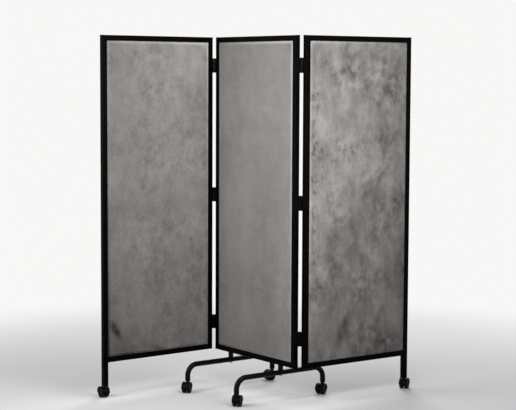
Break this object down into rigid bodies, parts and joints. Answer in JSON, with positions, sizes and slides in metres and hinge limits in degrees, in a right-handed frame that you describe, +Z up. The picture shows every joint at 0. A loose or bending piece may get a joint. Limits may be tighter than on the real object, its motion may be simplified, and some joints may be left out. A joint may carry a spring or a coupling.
{
  "type": "folding privacy screen",
  "caption": "Folding ward privacy screen: square-tube panels with grey fabric infill, butt hinges, bent tube feet and hooded twin-wheel casters.",
  "frame": {"origin": "centre of the bounding box at floor level, as the screen stands in the picture", "axes": "+Z up, +X along the middle panel from its left fold to its right fold, -Y the side the middle panel faces"},
  "size_m": [0.7578, 1.3692, 1.727],
  "materials": {
    "frame_paint": "black powder coat, satin",
    "hinge_paint": "black painted steel, satin",
    "bolt_steel": "dark zinc-plated steel",
    "core_board": "plain honeycomb board, hidden",
    "fabric_grey": "short-pile grey fabric with a mottled nap",
    "hood_plastic": "moulded black plastic, satin",
    "wheel_plastic": "moulded black plastic, slightly worn"
  },
  "bodies": {
    "middle_panel": {"middle_panel_left_post": "frame_paint", "middle_panel_right_post": "frame_paint", "middle_panel_top_rail": "frame_paint", "middle_panel_bottom_rail": "frame_paint", "middle_panel_core_board": "core_board", "middle_panel_fabric_sleeve": "fabric_grey", "left_upper_hinge_middle_leaf": "hinge_paint", "left_upper_hinge_pin": "hinge_paint", "left_centre_hinge_middle_leaf": "hinge_paint", "left_centre_hinge_pin": "hinge_paint", "left_lower_hinge_middle_leaf": "hinge_paint", "left_lower_hinge_pin": "hinge_paint", "right_upper_hinge_middle_leaf": "hinge_paint", "right_upper_hinge_pin": "hinge_paint", "right_centre_hinge_middle_leaf": "hinge_paint", "right_centre_hinge_pin": "hinge_paint", "right_lower_hinge_middle_leaf": "hinge_paint", "right_lower_hinge_pin": "hinge_paint", "left_foot_tube": "frame_paint", "left_foot_spacer": "frame_paint", "left_foot_bolt": "bolt_steel", "right_foot_tube": "frame_paint", "right_foot_spacer": "frame_paint", "right_foot_bolt": "bolt_steel"},
    "left_panel": {"left_panel_outer_post": "frame_paint", "left_panel_inner_post": "frame_paint", "left_panel_top_rail": "frame_paint", "left_panel_bottom_rail": "frame_paint", "left_panel_core_board": "core_board", "left_panel_fabric_sleeve": "fabric_grey", "left_upper_hinge_wing_leaf": "hinge_paint", "left_centre_hinge_wing_leaf": "hinge_paint", "left_lower_hinge_wing_leaf": "hinge_paint"},
    "right_panel": {"right_panel_outer_post": "frame_paint", "right_panel_inner_post": "frame_paint", "right_panel_top_rail": "frame_paint", "right_panel_bottom_rail": "frame_paint", "right_panel_core_board": "core_board", "right_panel_fabric_sleeve": "fabric_grey", "right_upper_hinge_wing_leaf": "hinge_paint", "right_centre_hinge_wing_leaf": "hinge_paint", "right_lower_hinge_wing_leaf": "hinge_paint"},
    "left_panel_caster": {"left_panel_caster_hood": "hood_plastic"},
    "left_panel_caster_wheel_a": {"left_panel_caster_wheel_a": "wheel_plastic"},
    "left_panel_caster_wheel_b": {"left_panel_caster_wheel_b": "wheel_plastic"},
    "right_panel_caster": {"right_panel_caster_hood": "hood_plastic"},
    "right_panel_caster_wheel_a": {"right_panel_caster_wheel_a": "wheel_plastic"},
    "right_panel_caster_wheel_b": {"right_panel_caster_wheel_b": "wheel_plastic"},
    "left_foot_front_caster": {"left_foot_front_caster_hood": "hood_plastic"},
    "left_foot_front_caster_wheel_a": {"left_foot_front_caster_wheel_a": "wheel_plastic"},
    "left_foot_front_caster_wheel_b": {"left_foot_front_caster_wheel_b": "wheel_plastic"},
    "left_foot_back_caster": {"left_foot_back_caster_hood": "hood_plastic"},
    "left_foot_back_caster_wheel_a": {"left_foot_back_caster_wheel_a": "wheel_plastic"},
    "left_foot_back_caster_wheel_b": {"left_foot_back_caster_wheel_b": "wheel_plastic"},
    "right_foot_front_caster": {"right_foot_front_caster_hood": "hood_plastic"},
    "right_foot_front_caster_wheel_a": {"right_foot_front_caster_wheel_a": "wheel_plastic"},
    "right_foot_front_caster_wheel_b": {"right_foot_front_caster_wheel_b": "wheel_plastic"},
    "right_foot_back_caster": {"right_foot_back_caster_hood": "hood_plastic"},
    "right_foot_back_caster_wheel_a": {"right_foot_back_caster_wheel_a": "wheel_plastic"},
    "right_foot_back_caster_wheel_b": {"right_foot_back_caster_wheel_b": "wheel_plastic"}
  },
  "joints": [
    {"name": "left_panel_fold", "type": "hinge", "parent": "middle_panel", "child": "left_panel", "pos_m": [-0.32644, -0.03053, 0.9485], "axis": [0, 0, 1], "range_deg": [-96, 89]},
    {"name": "right_panel_fold", "type": "hinge", "parent": "middle_panel", "child": "right_panel", "pos_m": [0.32256, 0.00487, 0.9485], "axis": [0, 0, 1], "range_deg": [-93.7, 91.3]},
    {"name": "left_panel_caster_swivel", "type": "hinge", "parent": "left_panel", "child": "left_panel_caster", "pos_m": [-0.33311, -0.66254, 0.06], "axis": [0, 0, 1], "continuous": true},
    {"name": "left_panel_caster_wheel_a_spin", "type": "hinge", "parent": "left_panel_caster", "child": "left_panel_caster_wheel_a", "pos_m": [-0.34905, -0.66115, 0.025], "axis": [-0.0872, -0.9962, 0], "continuous": true},
    {"name": "left_panel_caster_wheel_b_spin", "type": "hinge", "parent": "left_panel_caster", "child": "left_panel_caster_wheel_b", "pos_m": [-0.34905, -0.66115, 0.025], "axis": [-0.0872, -0.9962, 0], "continuous": true},
    {"name": "right_panel_caster_swivel", "type": "hinge", "parent": "right_panel", "child": "right_panel_caster", "pos_m": [0.35459, 0.63611, 0.06], "axis": [0, 0, 1], "continuous": true},
    {"name": "right_panel_caster_wheel_a_spin", "type": "hinge", "parent": "right_panel_caster", "child": "right_panel_caster_wheel_a", "pos_m": [0.34595, 0.64957, 0.025], "axis": [-0.8415, -0.5402, 0], "continuous": true},
    {"name": "right_panel_caster_wheel_b_spin", "type": "hinge", "parent": "right_panel_caster", "child": "right_panel_caster_wheel_b", "pos_m": [0.34595, 0.64957, 0.025], "axis": [-0.8415, -0.5402, 0], "continuous": true},
    {"name": "left_foot_front_caster_swivel", "type": "hinge", "parent": "middle_panel", "child": "left_foot_front_caster", "pos_m": [-0.20394, -0.27183, 0.06], "axis": [0, 0, 1], "continuous": true},
    {"name": "left_foot_front_caster_wheel_a_spin", "type": "hinge", "parent": "left_foot_front_caster", "child": "left_foot_front_caster_wheel_a", "pos_m": [-0.19365, -0.28409, 0.025], "axis": [0.766, 0.6428, 0], "continuous": true},
    {"name": "left_foot_front_caster_wheel_b_spin", "type": "hinge", "parent": "left_foot_front_caster", "child": "left_foot_front_caster_wheel_b", "pos_m": [-0.19365, -0.28409, 0.025], "axis": [0.766, 0.6428, 0], "continuous": true},
    {"name": "left_foot_back_caster_swivel", "type": "hinge", "parent": "middle_panel", "child": "left_foot_back_caster", "pos_m": [-0.20394, 0.24617, 0.06], "axis": [0, 0, 1], "continuous": true},
    {"name": "left_foot_back_caster_wheel_a_spin", "type": "hinge", "parent": "left_foot_back_caster", "child": "left_foot_back_caster_wheel_a", "pos_m": [-0.20394, 0.23017, 0.025], "axis": [1, 0, 0], "continuous": true},
    {"name": "left_foot_back_caster_wheel_b_spin", "type": "hinge", "parent": "left_foot_back_caster", "child": "left_foot_back_caster_wheel_b", "pos_m": [-0.20394, 0.23017, 0.025], "axis": [1, 0, 0], "continuous": true},
    {"name": "right_foot_front_caster_swivel", "type": "hinge", "parent": "middle_panel", "child": "right_foot_front_caster", "pos_m": [0.20006, -0.27183, 0.06], "axis": [0, 0, 1], "continuous": true},
    {"name": "right_foot_front_caster_wheel_a_spin", "type": "hinge", "parent": "right_foot_front_caster", "child": "right_foot_front_caster_wheel_a", "pos_m": [0.18999, -0.25939, 0.025], "axis": [-0.7771, -0.6293, 0], "continuous": true},
    {"name": "right_foot_front_caster_wheel_b_spin", "type": "hinge", "parent": "right_foot_front_caster", "child": "right_foot_front_caster_wheel_b", "pos_m": [0.18999, -0.25939, 0.025], "axis": [-0.7771, -0.6293, 0], "continuous": true},
    {"name": "right_foot_back_caster_swivel", "type": "hinge", "parent": "middle_panel", "child": "right_foot_back_caster", "pos_m": [0.20006, 0.24617, 0.06], "axis": [0, 0, 1], "continuous": true},
    {"name": "right_foot_back_caster_wheel_a_spin", "type": "hinge", "parent": "right_foot_back_caster", "child": "right_foot_back_caster_wheel_a", "pos_m": [0.20707, 0.23179, 0.025], "axis": [0.8988, 0.4384, 0], "continuous": true},
    {"name": "right_foot_back_caster_wheel_b_spin", "type": "hinge", "parent": "right_foot_back_caster", "child": "right_foot_back_caster_wheel_b", "pos_m": [0.20707, 0.23179, 0.025], "axis": [0.8988, 0.4384, 0], "continuous": true}
  ]
}
